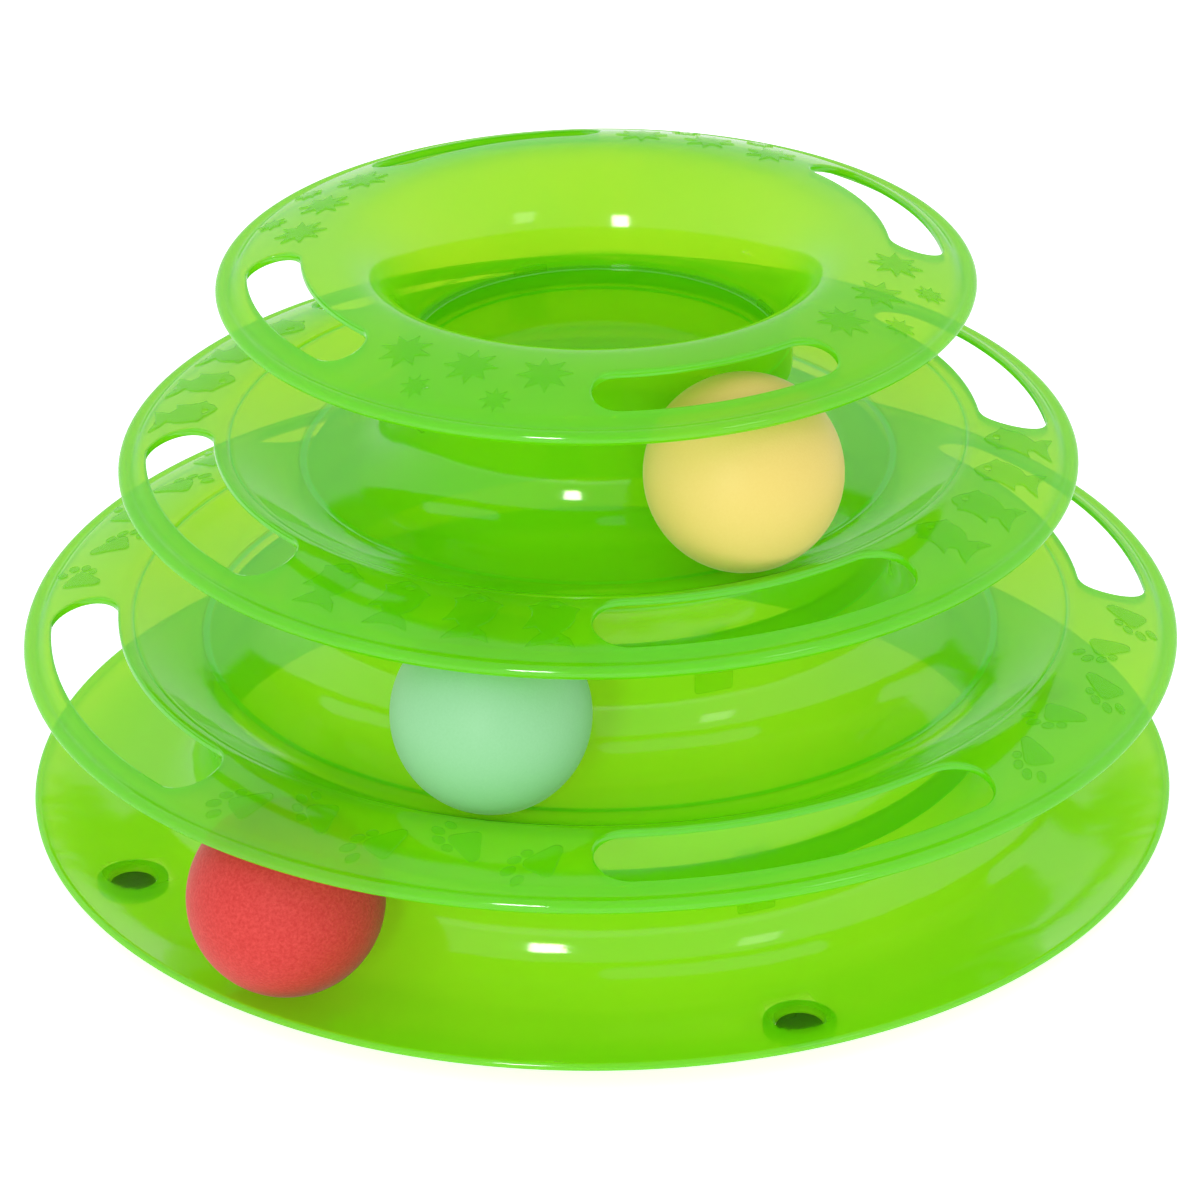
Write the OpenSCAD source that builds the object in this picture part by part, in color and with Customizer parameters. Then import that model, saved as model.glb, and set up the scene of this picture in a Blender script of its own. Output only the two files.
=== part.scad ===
// Cat ball track toy: four translucent trays stacked into a tapering tower,
// with one ball running round each of the three tracks between them.
// Every tray is a turned shell about the tower's upright axis, the Z axis,
// and the table that the feet stand on is at Z = 0.

/* [Balls] */
// Diameter of each ball
ball_d = 40.5; // [38:0.5:42]
// Wall of each hollow ball
ball_wall = 1.2; // [0.8:0.1:2]
// Side clearance between a ball and the column that it runs round
ball_side_gap = 0.6; // [0.4:0.1:1.2]
// Clearance under a ball
ball_rest_gap = 0.3; // [0.2:0.1:0.6]
// Headroom between a ball and the tray above it
ball_head_gap = 3.1; // [2:0.1:6]
// Angle at which the red ball lies round the base track
red_angle = -127.3; // [-180:0.1:180]
// Angle at which the mint ball lies round the lower track
mint_angle = -105.2; // [-180:0.1:180]
// Angle at which the yellow ball lies round the middle track
yellow_angle = -61.9; // [-180:0.1:180]

/* [Trays] */
// Wall of every tray
wall = 1.8; // [1.4:0.1:2.4]
// Outer radius of the slimmest column, under the top tray
top_column_r = 41; // [34:0.5:48]
// Floor beyond the middle of a ball's path, out to the foot of the dish
floor_margin = 1.25; // [0.6:0.05:3]
// Distance of the base's rim inside the rim of the tray above it
base_in = 0.3; // [0:0.1:2]
// Height of the base's rim above the table
base_rim_h = 6.5; // [6:0.1:9]
// Depth of the base's floor below its rim
base_dish_h = 3.1; // [2:0.1:3.6]
// Distance from the middle of the ball's path in to the foot of the base's dish
base_foot_in = 1.85; // [1:0.05:4]
// Height of a tray's floor above its own rim
floor_lift = 0.4; // [0:0.1:1]
// Height of a tray's crest above its rim
crest_h = 6.2; // [4.5:0.1:8]
// Drop from the crest to the crease between flange and dish
crease_drop = 0.8; // [0.4:0.1:2]
// Distance from the crest in to that crease
crease_w = 3.1; // [2:0.1:5]
// Clearance between a ball and the crease of its track
crease_gap = 2.8; // [1:0.1:4]
// Radius of the sweep from a floor up into its collar
collar_sweep_r = 14; // [6:0.5:16]
// Radius of the fillet under a tray, round the top of its column
root_r = 4; // [2:0.5:6]

/* [Top tray] */
// Height of the top tray's crest above its rim
top_crest_h = 7.4; // [5:0.1:9]
// Distance of the top tray's crest from its rim
top_crest_in = 24.6; // [21:0.1:27]
// Height of the throat between the funnel and the collar inside it
throat_h = 2; // [1.8:0.1:8]

/* [Rims] */
// Radius of the bead round a tray's rim
bead_r = 1.5; // [1.2:0.1:2]
// Radius of the lip round the base's rim
lip_r = 0.9; // [0.9:0.05:1.4]
// Distance of the valley behind the bead from the rim
valley_in = 3.2; // [3:0.1:4.5]
// Height of that valley above the middle of the bead
valley_h = 2.2; // [1.8:0.1:3]

/* [Paw slots] */
// Slots round each tray
slot_count = 4; // [2:1:5]
// Direction of the first slot, in degrees
slot_turn = 21.5; // [0:0.5:90]
// Angle that a slot covers from tip to tip
slot_angle = 45; // [30:1:55]
// Distance of a slot's outer edge from the rim
slot_outer_in = 6; // [5:0.1:8]
// Width of a slot across the flange
slot_w = 14.3; // [10:0.1:15]
// Flange left between a slot and the crest
slot_crest_gap = 0.2; // [0.1:0.1:4]
// Distance of a top slot's outer edge from the rim
top_slot_outer_in = 6.7; // [5:0.1:8]
// Width of a top slot across the flange
top_slot_w = 11.1; // [8:0.1:14]

/* [Stacking joints] */
// Radial clearance between a collar and the skirt round it
fit_gap = 0.3; // [0.2:0.05:0.4]
// Wall of a skirt where it goes over a collar
skirt_wall = 1; // [0.8:0.05:1.1]
// Height of a collar, as a share of the height from one tier to the next
collar_share = 0.63; // [0.6:0.005:0.65]
// Length of a skirt that goes down past a collar's top
skirt_overlap = 4.5; // [3:0.1:6]
// Snap tabs on each collar, each over a tongue of the skirt outside it
tab_count = 4; // [2:1:4]
// Width of a snap tab
tab_w = 7.5; // [5:0.1:10]
// Height of a tab above its collar
tab_h = 1.5; // [1:0.1:3]
// Thickness of a tab
tab_wall = 0.7; // [0.5:0.05:0.7]
// Width of a tongue that hangs from a skirt
tongue_w = 8.2; // [6:0.1:10]
// Depth that a tongue reaches below the top of the sweep behind it
tongue_dip = 1.1; // [0:0.1:1.2]
// Thickness of a tongue
tongue_wall = 0.7; // [0.5:0.05:0.75]

/* [Feet] */
// Feet under the base
foot_count = 4; // [4]
// Distance of the middle of a foot from the base's rim
foot_in = 16; // [14:0.5:22]
// Diameter of a rubber foot
foot_d = 8.6; // [6:0.1:10]
// Clearance round a foot in its cup
foot_gap = 0.2; // [0.1:0.05:0.4]
// Wall of the cup round a foot
cup_wall = 2; // [1.2:0.1:3]
// Height of a cup's edge above the table
cup_h = 0.6; // [0.3:0.1:1.2]

/* [Hidden] */
$fn = 96;

// One overrun serves every cut and every buried end
overrun = 0.5;
// Straight pieces that draw one curved stretch of a profile
curve_steps = 10;
quarter_turn = 90;
full_turn = 360;

// A column is wider than the one above it by what the ball between them needs
column_step = ball_d / 2 + ball_side_gap + floor_margin;
middle_column_r = top_column_r + column_step;
lower_column_r = middle_column_r + column_step;

// A flange holds its slot, crest and crease, and the dish reaches up round the ball
crest_in = slot_outer_in + slot_w + slot_crest_gap;
crease_in = crest_in + crease_w;
crease_h = crest_h - crease_drop;
crease_below = ball_d / 2 + ball_rest_gap + floor_lift - crease_h - crease_gap;
dish_w = sqrt(pow(ball_d / 2, 2) - pow(crease_below, 2)) - floor_margin;
rim_reach = dish_w + crease_in;

// Rims
top_rim_r = top_column_r + rim_reach;
middle_rim_r = middle_column_r + rim_reach;
lower_rim_r = lower_column_r + rim_reach;
base_rim_r = lower_rim_r - base_in;

// Heights of floors and rims, each above the track below it
track_h = ball_rest_gap + ball_d + ball_head_gap + wall - crest_h;
base_floor_z = base_rim_h - base_dish_h;
lower_rim_z = base_floor_z + track_h;
lower_floor_z = lower_rim_z + floor_lift;
middle_rim_z = lower_floor_z + track_h;
middle_floor_z = middle_rim_z + floor_lift;
top_rim_z = middle_floor_z + track_h;

// The collars, and what reaches down to them, go with the height of a tier
collar_h = collar_share * track_h;
funnel_h = track_h + top_crest_h - collar_h - throat_h;
tongue_h = collar_h - skirt_overlap - collar_sweep_r + tongue_dip;

// Feet
foot_place_r = base_rim_r - foot_in;
foot_h = base_floor_z - wall;
cup_r = foot_d / 2 + foot_gap + cup_wall;

// Radius of the path that a ball's middle takes round a column
function path_r(column_r) = column_r + ball_side_gap + ball_d / 2;

// Height of a ball's middle over a floor
function ball_z(floor_z) = floor_z + ball_rest_gap + ball_d / 2;

// Outer radius of the collar that fits inside a column's skirt
function collar_r(column_r) = column_r - skirt_wall - fit_gap;

// Direction that points out of a profile's underside at point i
function under_side(line, i) =
    let(
        ahead = line[min(i + 1, len(line) - 1)],
        behind = line[max(i - 1, 0)],
        run = ahead - behind
    )
    [-run[1], run[0]] / norm(run);

// The same line moved to its underside by a wall
function under_line(line, thickness) =
    [for (i = [0:len(line) - 1]) line[i] + thickness * under_side(line, i)];

// Closed outline of a wall whose upper face is the line
function wall_outline(line, thickness) =
    let(under = under_line(line, thickness))
    concat(line, [for (i = [len(line) - 1:-1:0]) under[i]]);

// Upper face of a flange: the bead's middle, the valley, and the rise to the crest
function flange_line(rim_r, rim_z, crest_in, crest_h) =
    concat(
        [[rim_r - bead_r, rim_z]],
        [for (i = [0:curve_steps])
            let(share = i / curve_steps)
            [
                rim_r - valley_in - share * (crest_in - valley_in),
                rim_z + valley_h + (crest_h - valley_h) * sin(quarter_turn * share),
            ]]
    );

// Upper face from just past the crest, over the crease and down the dish to the floor
function dish_line(rim_r, rim_z, column_r, floor_z) =
    concat(
        [for (i = [1:curve_steps])
            let(share = i / curve_steps)
            [
                rim_r - crest_in - share * (crease_in - crest_in),
                rim_z + crease_h + (crest_h - crease_h) * cos(quarter_turn * share),
            ]],
        [for (i = [1:curve_steps])
            let(share = i / curve_steps, crease_r = rim_r - crease_in, crease_z = rim_z + crease_h)
            [
                crease_r + share * (column_r - crease_r),
                floor_z + (crease_z - floor_z) * (1 - sin(quarter_turn * share)),
            ]]
    );

// Upper face of the sweep from a floor up into the collar, and the collar's outside
function collar_line(column_r, floor_z) =
    concat(
        [for (i = [0:curve_steps])
            let(turn = quarter_turn * i / curve_steps)
            [
                collar_r(column_r) + collar_sweep_r * (1 - sin(turn)),
                floor_z + collar_sweep_r * (1 - cos(turn)),
            ]],
        [[collar_r(column_r), floor_z + collar_h]]
    );

// Upper face of the funnel, from just past the top crest down to the throat
function funnel_line(crest_r, crest_z, throat_r) =
    [for (i = [1:curve_steps])
        let(turn = quarter_turn * i / curve_steps)
        [
            crest_r - (crest_r - throat_r) * sin(turn),
            crest_z - funnel_h * (1 - cos(turn)),
        ]];

// Outline of a column's wall from its top end down to the skirt's lower edge,
// with the socket that goes over the collar of the tray below
function column_outline(column_r, top_z, floor_below_z) =
    let(
        shoulder_z = floor_below_z + collar_h,
        edge_z = shoulder_z - skirt_overlap
    )
    [
        [column_r, top_z],
        [column_r, edge_z],
        [column_r - skirt_wall, edge_z],
        [column_r - skirt_wall, shoulder_z],
        [column_r - wall, shoulder_z],
        [column_r - wall, top_z],
    ];

// Outline of the fillet between a column's outside and the tray's underside
function root_outline(column_r, under_z) =
    concat(
        [
            [column_r - overrun, under_z - root_r],
            [column_r - overrun, under_z + overrun],
            [column_r + root_r, under_z + overrun],
        ],
        [for (i = [0:curve_steps])
            let(turn = quarter_turn * i / curve_steps)
            [
                column_r + root_r * (1 - sin(turn)),
                under_z - root_r * (1 - cos(turn)),
            ]]
    );

// Copies round the tower, in the directions of the slots
module round_tower(count) {
    for (i = [0:count - 1])
        rotate(slot_turn + i * full_turn / count)
            children();
}

// A short stretch of ring, as wide as given along its middle, centred on +X
module ring_piece(inner_r, outer_r, width, low_z, high_z) {
    angle = width / (inner_r + outer_r) * full_turn / PI;
    rotate(-angle / 2)
        rotate_extrude(angle = angle)
            translate([inner_r, low_z])
                square([outer_r - inner_r, high_z - low_z]);
}

// Cutter for one slot: a stretch of ring with round ends, centred on +X
module slot_cutter(rim_r, outer_in, width, low_z, high_z) {
    middle_r = rim_r - outer_in - width / 2;
    tip_angle = asin(width / 2 / middle_r);
    side_angle = slot_angle / 2 - tip_angle;
    rotate(-side_angle)
        rotate_extrude(angle = 2 * side_angle)
            translate([middle_r - width / 2, low_z])
                square([width, high_z - low_z]);
    for (side = [-1, 1])
        rotate(side * side_angle)
            translate([middle_r, 0, low_z])
                cylinder(d = width, h = high_z - low_z);
}

// Tabs that stand up from a collar's top, inside the column above
module tabs(column_r, floor_z) {
    outer_r = column_r - wall - fit_gap;
    round_tower(tab_count)
        ring_piece(outer_r - tab_wall, outer_r, tab_w,
            floor_z + collar_h - overrun, floor_z + collar_h + tab_h);
}

// Tongues that hang from a skirt
module tongues(column_r, floor_below_z) {
    edge_z = floor_below_z + collar_h - skirt_overlap;
    round_tower(tab_count)
        ring_piece(column_r - tongue_wall, column_r, tongue_w,
            edge_z - tongue_h, edge_z + overrun);
}

// A tray that carries a track on its floor and stands on the tray below
module tray(rim_r, rim_z, column_r, floor_z, next_column_r, floor_below_z) {
    line = concat(
        flange_line(rim_r, rim_z, crest_in, crest_h),
        dish_line(rim_r, rim_z, column_r, floor_z),
        collar_line(next_column_r, floor_z)
    );
    difference() {
        union() {
            rotate_extrude() {
                polygon(wall_outline(line, wall));
                polygon(column_outline(column_r, floor_z - overrun, floor_below_z));
                polygon(root_outline(column_r, floor_z - wall));
                translate([rim_r - bead_r, rim_z])
                    circle(r = bead_r);
            }
            tabs(next_column_r, floor_z);
            tongues(column_r, floor_below_z);
        }
        round_tower(slot_count)
            slot_cutter(rim_r, slot_outer_in, slot_w, rim_z, rim_z + crest_h + overrun);
    }
}

module base_tray() {
    base_dish_w = base_rim_r - path_r(lower_column_r) + base_foot_in;
    line = concat(
        [for (i = [0:curve_steps])
            let(share = i / curve_steps)
            [
                base_rim_r - lip_r - share * (base_dish_w - lip_r),
                base_rim_h + lip_r - (base_dish_h + lip_r) * sin(quarter_turn * share),
            ]],
        collar_line(lower_column_r, base_floor_z)
    );
    color("limegreen")
        difference() {
            union() {
                rotate_extrude() {
                    polygon(wall_outline(line, wall));
                    translate([base_rim_r - lip_r, base_rim_h])
                        circle(r = lip_r);
                }
                tabs(lower_column_r, base_floor_z);
                round_tower(foot_count)
                    translate([foot_place_r, 0, cup_h])
                        cylinder(r = cup_r, h = base_floor_z - overrun - cup_h);
            }
            round_tower(foot_count)
                translate([foot_place_r, 0, cup_h - overrun])
                    cylinder(d = foot_d + 2 * foot_gap, h = foot_h - cup_h + overrun);
        }
}

module lower_tier() {
    color("yellowgreen")
        tray(lower_rim_r, lower_rim_z, lower_column_r, lower_floor_z,
            middle_column_r, base_floor_z);
}

module middle_tier() {
    color("lawngreen")
        tray(middle_rim_r, middle_rim_z, middle_column_r, middle_floor_z,
            top_column_r, lower_floor_z);
}

module top_tier() {
    throat_r = top_column_r - wall;
    crest_z = top_rim_z + top_crest_h;
    line = concat(
        flange_line(top_rim_r, top_rim_z, top_crest_in, top_crest_h),
        funnel_line(top_rim_r - top_crest_in, crest_z, throat_r)
    );
    color("chartreuse")
        difference() {
            union() {
                rotate_extrude() {
                    polygon(wall_outline(line, wall));
                    polygon(column_outline(top_column_r, crest_z - funnel_h, middle_floor_z));
                    translate([top_rim_r - bead_r, top_rim_z])
                        circle(r = bead_r);
                }
                tongues(top_column_r, middle_floor_z);
            }
            round_tower(slot_count)
                slot_cutter(top_rim_r, top_slot_outer_in, top_slot_w,
                    top_rim_z, crest_z + overrun);
        }
}

// A hollow ball on the track of the given floor
module ball(turn, column_r, floor_z) {
    rotate(turn)
        translate([path_r(column_r), 0, ball_z(floor_z)])
            difference() {
                sphere(d = ball_d);
                sphere(d = ball_d - 2 * ball_wall);
            }
}

module ball_red() {
    color("tomato")
        ball(red_angle, lower_column_r, base_floor_z);
}

module ball_mint() {
    color("aquamarine")
        ball(mint_angle, middle_column_r, lower_floor_z);
}

module ball_yellow() {
    color("khaki")
        ball(yellow_angle, top_column_r, middle_floor_z);
}

// A rubber foot in its cup under the base
module foot(index) {
    color("darkslategray")
        rotate(slot_turn + index * full_turn / foot_count)
            translate([foot_place_r, 0, 0])
                cylinder(d = foot_d, h = foot_h);
}

base_tray();
lower_tier();
middle_tier();
top_tier();
ball_red();
ball_mint();
ball_yellow();
foot(0);  // foot_1
foot(1);  // foot_2
foot(2);  // foot_3
foot(3);  // foot_4
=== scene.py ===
"""Looks of the cat ball track toy: four translucent trays, three balls and four feet.

Lengths named here are in millimetres, meshes are made in metres, and everything
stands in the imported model's own frame, with the tower's axis upright on Z.
"""

import math
from types import SimpleNamespace

import bmesh
import bpy
import numpy as np
from mathutils import Matrix, Vector


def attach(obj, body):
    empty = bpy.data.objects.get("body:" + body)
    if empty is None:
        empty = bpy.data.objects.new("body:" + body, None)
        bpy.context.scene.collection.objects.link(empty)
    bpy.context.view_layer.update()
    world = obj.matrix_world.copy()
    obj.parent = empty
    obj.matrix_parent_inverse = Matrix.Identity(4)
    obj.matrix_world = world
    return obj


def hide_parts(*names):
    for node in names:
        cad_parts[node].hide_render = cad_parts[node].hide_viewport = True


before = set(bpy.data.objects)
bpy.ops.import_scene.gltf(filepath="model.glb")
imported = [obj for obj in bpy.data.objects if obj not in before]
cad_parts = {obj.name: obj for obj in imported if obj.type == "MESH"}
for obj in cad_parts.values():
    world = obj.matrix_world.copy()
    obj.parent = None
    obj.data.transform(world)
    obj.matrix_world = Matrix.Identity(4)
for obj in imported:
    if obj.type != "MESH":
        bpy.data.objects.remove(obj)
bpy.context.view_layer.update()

MM = 0.001

# Sizes that every tray shares
WALL = 1.8
SKIRT_WALL = 1.0
FIT_GAP = 0.3
RIM_REACH = 38.082
BEAD_R = 1.5
VALLEY_IN, VALLEY_H, VALLEY_SLOPE = 3.2, 2.2, 0.36
CREASE_IN, CREASE_H = 23.6, 5.4
FLOOR_LIFT = 0.4
SWEEP_R = 14.0
ROOT_R = 4.0
THROAT_RISE = 2.0
COLLAR_H = 24.885
COLLAR_SOFT = 0.4
SKIRT_OVERLAP = 4.5
SKIRT_SOFT = 0.35
TONGUE_H, TONGUE_W = 7.485, 8.2
TAB_H, TAB_W = 1.5, 7.5
SNAP_WALL, SNAP_ROOT = 0.7, 0.5
SLOT_COUNT = 4
SLOT_TURN = math.radians(21.5)
SLOT_ANGLE = math.radians(45)
SLOT_ROUNDING = 0.45
SLOT_ROUND_POWER = 2.6
SLOT_CLEAR_OUT = 1.1
SLOT_CLEAR_IN = 1.3

# Sizes of the base
BASE_RIM_R = 122.982
BASE_RIM_Z = 6.5
BASE_FLOOR_Z = 3.4
BASE_DISH_FOOT_R = 104.2
LIP_R = 0.9
FEET_R = 106.982
FOOT_COUNT = 4
FOOT_D = 9.8
FOOT_SOFT = 0.35
FOOT_GAP = 0.2
SOLE_R, SOLE_RING_W, SOLE_DEPTH = 1.6, 0.3, 0.12
CUP_R, CUP_Z, CUP_SOFT, CUP_SHELF_Z = 7.5, 0.6, 0.4, 1.6

# Sizes of the balls
BALL_R = 20.25
BALL_SIDE_GAP = 0.6
BALL_REST_GAP = 0.3

# Steps from one tier to the next, and where the lowest one stands
COLUMN_STEP = 22.1
TIER_STEP = 39.9
LOWER_COLUMN_R = 85.2
LOWER_RIM_H = 39.5

# Fine marks: half width and depth of the grooves, and the raised marks
CREASE_HALF_W, CREASE_DEPTH = 0.6, 0.32
RING_HALF_W, RING_FOOT_HALF_W, RING_DEPTH = 1.1, 0.5, 0.1
MARK_H, MARK_SINK, MARK_SIDE_SHARE, MARK_SOFT = 0.3, 0.35, 0.55, 0.16

# Edge values, from 0 on a plain face to 1 on a cut edge; they deepen the tint, which in the grooves
# and on the collar's inner line is painted shade
BEAD_EDGE, LIP_EDGE, TOP_EDGE, CUT_EDGE_AND_SHADE_LINE = 0.5, 0.6, 0.8, 1.0
THROAT_EDGE, ROOT_EDGE, MARK_EDGE, CUP_EDGE = 0.7, 0.9, 0.75, 0.2

# How thin the tongues, the tabs and the raised marks look, where 1 lets nearly all light by
THIN = 0.85

# Distances below which points merge: in metres in a mesh, in millimetres in an outline
TURN_MERGE, MESH_MERGE = 1e-6, 1e-7
SAME_POINT = 1e-4

# Rows and columns of the meshes
FLANGE_ROWS = 40
CURVE_ROWS = 25
SWEEP_STEPS = 18
BEND_STEPS = 7
BEAD_STEPS = 20
COLUMN_ROWS = 6
END_STEPS = 10
SIDE_STEPS = 18
SOLID_STEPS = 22
SLOT_ROWS = 7
NOSE_STEPS = 8
SHARP_ANGLE = math.radians(32)


def tier(name, step, **more):
    """Sizes of the tray that stands `step` tiers above the base."""
    column_r = LOWER_COLUMN_R - COLUMN_STEP * (step - 1)
    rim_z = BASE_FLOOR_Z + LOWER_RIM_H + TIER_STEP * (step - 1)
    sizes = SimpleNamespace(
        name=name, column_r=column_r, rim_r=column_r + RIM_REACH, rim_z=rim_z,
        floor_z=rim_z + FLOOR_LIFT, floor_below_z=BASE_FLOOR_Z + TIER_STEP * (step - 1),
        next_column_r=column_r - COLUMN_STEP, crest_in=20.5, crest_h=6.2,
        slot_outer_in=6.0, slot_w=14.3, top=False,
    )
    sizes.__dict__.update(more)
    return sizes


LOWER = tier("lower_tier", 1)
MIDDLE = tier("middle_tier", 2)
TOP = tier("top_tier", 3, crest_in=24.6, crest_h=7.4, slot_outer_in=6.7, slot_w=11.1, top=True)


# Outlines, as rows of radius, height and edge value

def line(points, edge=0.0):
    """Rows of an outline with the same edge value."""
    points = np.asarray(points, float).reshape(-1, 2)
    return np.column_stack([points, np.full(len(points), edge)])


def arc(centre, radius, start, end, steps, edge=0.0):
    """Rows on a circular arc, between two angles in degrees."""
    turn = np.radians(np.linspace(start, end, steps + 1))
    points = [centre[0] + radius * np.cos(turn), centre[1] + radius * np.sin(turn)]
    return line(np.column_stack(points), edge)


def bend(start, leave, arrive, end, edges=(0.0, 0.0)):
    """Rows on a smooth bend between two points, with the direction at each of them."""
    start, end = np.array(start, float), np.array(end, float)
    pull_share = 0.4
    pull = np.linalg.norm(end - start) * pull_share
    a = start + pull * np.array(leave) / np.linalg.norm(leave)
    b = end - pull * np.array(arrive) / np.linalg.norm(arrive)
    t = np.linspace(0, 1, BEND_STEPS + 1)[:, None]
    points = (1 - t) ** 3 * start + 3 * (1 - t) ** 2 * t * a + 3 * (1 - t) * t * t * b + t**3 * end
    rows = line(points)
    rows[:, 2] = np.linspace(*edges, BEND_STEPS + 1)
    return rows


def beneath(rows, wall):
    """The same line, moved to the underside of a wall."""
    run = np.gradient(rows[:, :2], axis=0)
    run /= np.linalg.norm(run, axis=1)[:, None]
    moved = rows.copy()
    moved[:, 0] -= wall * run[:, 1]
    moved[:, 1] += wall * run[:, 0]
    return moved


def run_of(*parts):
    """One outline from parts that meet, with each shared point kept once."""
    rows = np.vstack(parts)
    gap = np.linalg.norm(np.diff(rows[:, :2], axis=0), axis=1)
    return rows[np.concatenate([[True], gap > SAME_POINT])]


def grooved(rows, r, half_w, depth):
    """The same inward line with a fine groove cut in it at radius r, its bottom tinted deep as
    painted shade.
    """
    cut_r = [r + half_w, r, r - half_w]
    z = np.interp(cut_r, rows[::-1, 0], rows[::-1, 1])
    cut = line(np.column_stack([cut_r, z - [0, depth, 0]]))
    # The groove's bottom row gets the deepest tint: a painted dark line of shade in the crease.
    cut[1, 2] = CUT_EDGE_AND_SHADE_LINE
    clear = half_w * 1.2
    rows = np.vstack([rows[np.abs(rows[:, 0] - r) > clear], cut])
    return rows[np.argsort(-rows[:, 0])]


def ring_groove(t):
    """A shallow ring in the track's floor, above the column's wall, tinted deep in its bottom as
    painted shade.
    """
    r, bottom_z = t.column_r - WALL / 2, t.floor_z - RING_DEPTH
    ring = line([[r + RING_HALF_W, t.floor_z], [r + RING_FOOT_HALF_W, bottom_z],
                 [r - RING_FOOT_HALF_W, bottom_z], [r - RING_HALF_W, t.floor_z]])
    # The ring's bottom rows get the deepest tint: a painted shadow line over the column's wall.
    ring[1:3, 2] = CUT_EDGE_AND_SHADE_LINE
    return ring


def flange_height(t, r):
    """Height of a flange's upper face at radius r, from the bead's valley to the crest."""
    share = np.clip((t.rim_r - VALLEY_IN - r) / (t.crest_in - VALLEY_IN), 0, 1)
    return t.rim_z + VALLEY_H + (t.crest_h - VALLEY_H) * np.sin(share * math.pi / 2)


def upper_line(t, outer_r):
    """Upper face from the flange at outer_r in to the column, or to the top tray's throat."""
    flange_r = np.linspace(outer_r, t.rim_r - t.crest_in, FLANGE_ROWS)
    flange = line(np.column_stack([flange_r, flange_height(t, flange_r)]))
    share = np.linspace(0, 1, CURVE_ROWS)
    crest_r, crest_z = t.rim_r - t.crest_in, t.rim_z + t.crest_h
    if t.top:
        turn = share * math.pi / 2
        throat_r, drop = t.column_r - WALL, funnel_depth(t)
        inward = line(np.column_stack([
            crest_r - (crest_r - throat_r) * np.sin(turn), crest_z - drop * (1 - np.cos(turn))]))
        return run_of(flange, inward)
    crease_r, crease_z = t.rim_r - CREASE_IN, t.rim_z + CREASE_H
    shoulder = line(np.column_stack([
        crest_r + share * (crease_r - crest_r),
        crease_z + (crest_z - crease_z) * np.cos(share * math.pi / 2)]))
    dish = line(np.column_stack([
        crease_r + share * (t.column_r - crease_r),
        t.floor_z + (crease_z - t.floor_z) * (1 - np.sin(share * math.pi / 2))]))
    return run_of(flange, shoulder, dish)


def funnel_depth(t):
    """Drop from the top tray's crest to its throat."""
    return t.rim_z + t.crest_h - t.floor_below_z - COLLAR_H - THROAT_RISE


def collar_rows(column_r, floor_z):
    """Up a collar from the floor, over its top and down inside, to under the floor again, with a
    painted dark line of shade inside.
    """
    outer_r = column_r - SKIRT_WALL - FIT_GAP
    inner_r, top_z, soft = outer_r - WALL, floor_z + COLLAR_H, COLLAR_SOFT
    centre = (outer_r + SWEEP_R, floor_z + SWEEP_R)
    shade_line_z, shade_line_half_h, shade_line_fade = top_z - SKIRT_OVERLAP, 0.3, 0.5
    return run_of(
        arc(centre, SWEEP_R, 270, 180, SWEEP_STEPS),
        line([[outer_r, floor_z + (SWEEP_R * 2 + COLLAR_H) / 3]]),
        arc((outer_r - soft, top_z - soft), soft, 0, 90, 4, TOP_EDGE),
        arc((inner_r + soft, top_z - soft), soft, 90, 180, 4, TOP_EDGE),
        # Inside the collar, level with the skirt's edge, a band gets the deepest tint: a painted
        # dark line of shade where the two parts overlap.
        line([[inner_r, shade_line_z + shade_line_fade]]),
        line([[inner_r, shade_line_z + shade_line_half_h], [inner_r, shade_line_z - shade_line_half_h]], CUT_EDGE_AND_SHADE_LINE),
        line([[inner_r, shade_line_z - shade_line_fade]]),
        arc(centre, SWEEP_R + WALL, 180, 270, SWEEP_STEPS),
    )


def column_rows(t, under_z, root):
    """Down the inside of a column from under_z, round its skirt and up the outside to its root."""
    inner_r, socket_r = t.column_r - WALL, t.column_r - SKIRT_WALL
    shoulder_z = t.floor_below_z + COLLAR_H
    edge_z, soft = shoulder_z - SKIRT_OVERLAP, SKIRT_SOFT
    throat_h, plain_z, clear = 1.6, under_z - 2.4, 1.0
    return run_of(
        line([[inner_r, under_z], [inner_r, under_z - throat_h]], THROAT_EDGE),
        wall_rows(inner_r, plain_z, shoulder_z),
        line([[socket_r, shoulder_z], [socket_r, (shoulder_z + edge_z) / 2]]),
        arc((socket_r + soft, edge_z + soft), soft, 180, 270, 3, TOP_EDGE),
        arc((t.column_r - soft, edge_z + soft), soft, 270, 360, 3, TOP_EDGE),
        wall_rows(t.column_r, edge_z + clear, root - clear),
        line([[t.column_r, root]], ROOT_EDGE),
    )


def wall_rows(r, start_z, end_z):
    """Evenly spaced rows on an upright wall."""
    z = np.linspace(start_z, end_z, COLUMN_ROWS)
    return line(np.column_stack([np.full(COLUMN_ROWS, r), z]))


def bead_rows(t, outer_r, upper, lower):
    """From the flange over its valley, round the bead and back under the flange."""
    top_angle, low_angle = 112, -148
    bead = arc((t.rim_r - BEAD_R, t.rim_z), BEAD_R, top_angle, low_angle, BEAD_STEPS, BEAD_EDGE)
    over, under = math.radians(top_angle), math.radians(low_angle)
    return run_of(
        bend([outer_r, upper(outer_r)], [1, -VALLEY_SLOPE], [math.sin(over), -math.cos(over)],
             bead[0, :2], (0, BEAD_EDGE)),
        bead,
        bend(bead[-1, :2], [math.sin(under), -math.cos(under)], [-1, VALLEY_SLOPE],
             [outer_r, lower(outer_r)], (BEAD_EDGE, 0)),
    )


# Meshes

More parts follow.
